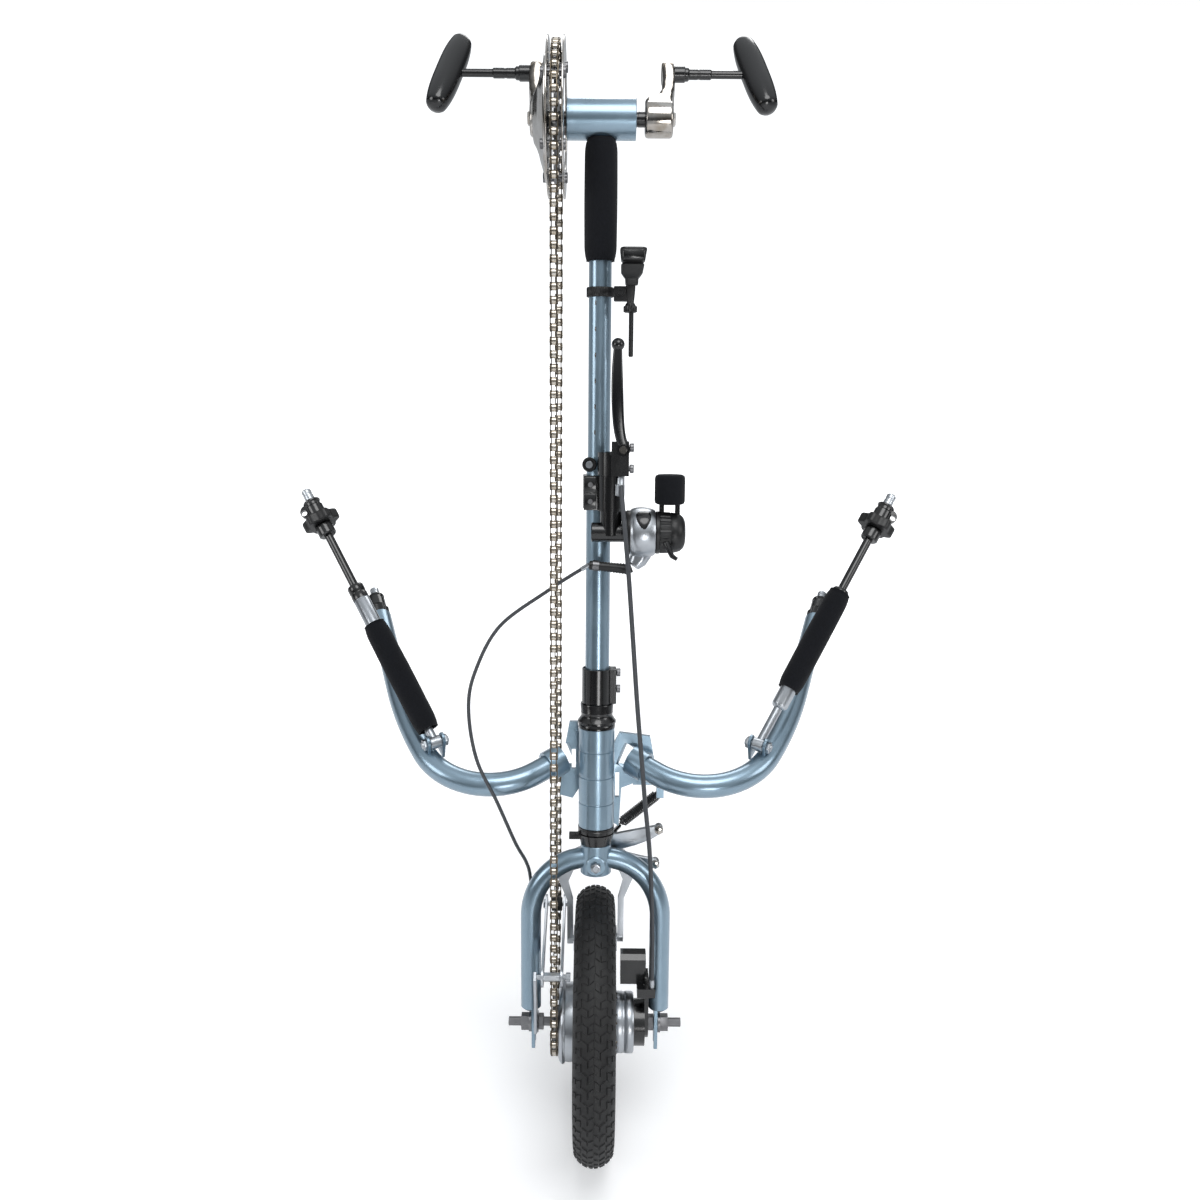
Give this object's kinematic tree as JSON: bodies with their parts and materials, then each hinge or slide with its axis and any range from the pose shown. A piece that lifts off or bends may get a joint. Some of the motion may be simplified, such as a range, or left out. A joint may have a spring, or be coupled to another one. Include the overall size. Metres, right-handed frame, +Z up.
{
  "type": "handcycle",
  "caption": "Hand-cranked front drive wheel with steerer mast, chain drive, fork and four clamp ends for a wheelchair frame.",
  "frame": {"origin": "the tyre's contact point with the ground, straight below the axle", "axes": "+Z up, +Y rearward to the wheelchair, +X across the wheel to the right as seen from the front"},
  "size_m": [0.6804, 0.6405, 1.1305],
  "materials": {
    "frame_paint": "silver-blue metallic gloss",
    "chrome": "polished",
    "satin_alloy": "satin",
    "dark_steel": "oiled",
    "chain_steel": "oiled",
    "black_paint": "black gloss",
    "black_plastic": "fine grain",
    "gloss_rubber": "gloss",
    "foam": "foam",
    "tyre_rubber": "moulded",
    "cable_jacket": "smooth"
  },
  "bodies": {
    "frame": {"head_tube": "frame_paint", "lower_headset_cup": "black_paint", "upper_headset_cup": "black_paint", "mounting_plate": "frame_paint", "left_arm": "frame_paint", "right_arm": "frame_paint"},
    "steerer": {"fork_crown": "frame_paint", "left_fork_blade": "frame_paint", "right_fork_blade": "frame_paint", "crown_collar": "black_paint", "headset_cap": "black_paint", "mast_clamp": "black_paint", "lower_mast": "frame_paint", "height_clamp": "black_paint", "control_bar": "black_paint", "shifter_body": "satin_alloy", "lever_perch": "black_paint", "axle": "dark_steel", "brake_carrier": "black_paint", "chain_keeper": "satin_alloy", "chain": "chain_steel", "centring_spring": "black_paint", "brake_cable": "cable_jacket", "shift_cable": "cable_jacket"},
    "mast": {"upper_mast": "frame_paint", "crank_bearing": "dark_steel", "mast_foam": "foam", "lamp_bracket": "black_plastic"},
    "lamp": {"lamp": "black_plastic"},
    "cranks": {"crank_spindle": "dark_steel", "chainring": "dark_steel", "outer_guard": "satin_alloy", "inner_guard": "satin_alloy", "left_crank": "chrome", "right_crank": "chrome", "left_handle_spindle": "black_paint", "right_handle_spindle": "black_paint"},
    "left_grip": {"left_grip": "gloss_rubber"},
    "right_grip": {"right_grip": "gloss_rubber"},
    "wheel": {"tyre": "tyre_rubber", "rim": "satin_alloy", "hub": "satin_alloy"},
    "sprocket": {"sprocket": "dark_steel"},
    "tensioner": {"tensioner_cage": "satin_alloy"},
    "jockey_wheel": {"jockey_wheel": "black_plastic"},
    "shifter_grip": {"shifter_grip": "gloss_rubber"},
    "brake_lever": {"brake_lever": "gloss_rubber"},
    "left_brake_arm": {"left_brake_arm": "satin_alloy"},
    "right_brake_arm": {"right_brake_arm": "satin_alloy"},
    "left_arm_knob": {"left_arm_knob": "black_plastic"},
    "left_strut": {"left_strut_tube": "satin_alloy", "left_strut_foam": "foam"},
    "left_strut_rod": {"left_strut_rod": "black_paint"},
    "left_strut_knob": {"left_strut_knob": "black_plastic"},
    "right_arm_knob": {"right_arm_knob": "black_plastic"},
    "right_strut": {"right_strut_tube": "satin_alloy", "right_strut_foam": "foam"},
    "right_strut_rod": {"right_strut_rod": "black_paint"},
    "right_strut_knob": {"right_strut_knob": "black_plastic"}
  },
  "joints": [
    {"name": "steering", "type": "hinge", "parent": "frame", "child": "steerer", "pos_m": [0, 0, 0.1485], "axis": [0, 0.309, 0.9511], "range_deg": [-30, 30], "stiffness_Nm_per_rad": 15, "deforming": ["centring_spring", "brake_cable", "shift_cable"]},
    {"name": "mast_height", "type": "slide", "parent": "steerer", "child": "mast", "axis": [0, 0.309, 0.9511], "range_m": [-0.013, 0.0035], "deforming": ["chain"]},
    {"name": "lamp_swivel", "type": "hinge", "parent": "mast", "child": "lamp", "pos_m": [0.031, 0.22824, 0.9092], "axis": [0, 0.309, 0.9511], "range_deg": [-20, 20]},
    {"name": "crank_spin", "type": "hinge", "parent": "mast", "child": "cranks", "pos_m": [0, 0.2948, 1.05581], "axis": [1, 0, 0], "continuous": true, "deforming": ["chain"]},
    {"name": "left_grip_spin", "type": "hinge", "parent": "cranks", "child": "left_grip", "pos_m": [-0.165, 0.4437, 1.08637], "axis": [1, 0, 0], "continuous": true},
    {"name": "right_grip_spin", "type": "hinge", "parent": "cranks", "child": "right_grip", "pos_m": [0.165, 0.4437, 1.08637], "axis": [1, 0, 0], "continuous": true},
    {"name": "wheel_spin", "type": "hinge", "parent": "steerer", "child": "wheel", "pos_m": [0, 0, 0.1485], "axis": [1, 0, 0], "continuous": true},
    {"name": "sprocket_spin", "type": "hinge", "parent": "steerer", "child": "sprocket", "pos_m": [0, 0, 0.1485], "axis": [1, 0, 0], "continuous": true},
    {"name": "tensioner_swing", "type": "hinge", "parent": "steerer", "child": "tensioner", "pos_m": [-0.044, -0.02026, 0.235], "axis": [1, 0, 0], "range_deg": [-10, 10], "stiffness_Nm_per_rad": 3, "deforming": ["chain"]},
    {"name": "jockey_spin", "type": "hinge", "parent": "tensioner", "child": "jockey_wheel", "pos_m": [-0.044, 0.08877, 0.23905], "axis": [1, 0, 0], "continuous": true},
    {"name": "shifter_twist", "type": "hinge", "parent": "steerer", "child": "shifter_grip", "pos_m": [0.07, 0.14618, 0.67931], "axis": [1, 0, 0], "range_deg": [-60, 60]},
    {"name": "brake_lever_pull", "type": "hinge", "parent": "steerer", "child": "brake_lever", "pos_m": [0.024, 0.15787, 0.76383], "axis": [0, 0.9511, -0.309], "range_deg": [-18, 0], "stiffness_Nm_per_rad": 0.6},
    {"name": "right_brake_arm_swing", "type": "hinge", "parent": "steerer", "child": "right_brake_arm", "pos_m": [0, 0.08574, 0.31853], "axis": [0, 0.9511, -0.309], "range_deg": [0, 0.6], "stiffness_Nm_per_rad": 2},
    {"name": "left_brake_arm_swing", "type": "hinge", "parent": "steerer", "child": "left_brake_arm", "pos_m": [0, 0.08003, 0.32038], "axis": [0, 0.9511, -0.309], "range_deg": [-0.6, 0], "stiffness_Nm_per_rad": 2},
    {"name": "left_arm_knob_turn", "type": "hinge", "parent": "frame", "child": "left_arm_knob", "pos_m": [-0.26777, 0.32895, 0.48639], "axis": [-0.2924, 0.9193, 0.2636], "continuous": true},
    {"name": "left_strut_fold", "type": "hinge", "parent": "frame", "child": "left_strut", "pos_m": [-0.175, 0.112, 0.444], "axis": [0.8829, 0.4695, 0], "range_deg": [-15, 40]},
    {"name": "left_strut_length", "type": "slide", "parent": "left_strut", "child": "left_strut_rod", "axis": [-0.4873, 0.5911, 0.6428], "range_m": [-0.05, 0.03]},
    {"name": "left_strut_knob_turn", "type": "hinge", "parent": "left_strut_rod", "child": "left_strut_knob", "pos_m": [-0.31533, 0.28224, 0.62912], "axis": [-0.4873, 0.5911, 0.6428], "continuous": true},
    {"name": "right_arm_knob_turn", "type": "hinge", "parent": "frame", "child": "right_arm_knob", "pos_m": [0.26777, 0.32895, 0.48639], "axis": [0.2924, 0.9193, 0.2636], "continuous": true},
    {"name": "right_strut_fold", "type": "hinge", "parent": "frame", "child": "right_strut", "pos_m": [0.175, 0.112, 0.444], "axis": [0.8829, -0.4695, 0], "range_deg": [-15, 40]},
    {"name": "right_strut_length", "type": "slide", "parent": "right_strut", "child": "right_strut_rod", "axis": [0.4873, 0.5911, 0.6428], "range_m": [-0.05, 0.03]},
    {"name": "right_strut_knob_turn", "type": "hinge", "parent": "right_strut_rod", "child": "right_strut_knob", "pos_m": [0.31533, 0.28224, 0.62912], "axis": [0.4873, 0.5911, 0.6428], "continuous": true}
  ],
  "couplings": [
    {"joint": "sprocket_spin", "follows": "crank_spin", "ratio": 2.125},
    {"joint": "jockey_spin", "follows": "crank_spin", "ratio": 3.0909},
    {"joint": "left_brake_arm_swing", "follows": "right_brake_arm_swing", "ratio": -1}
  ]
}
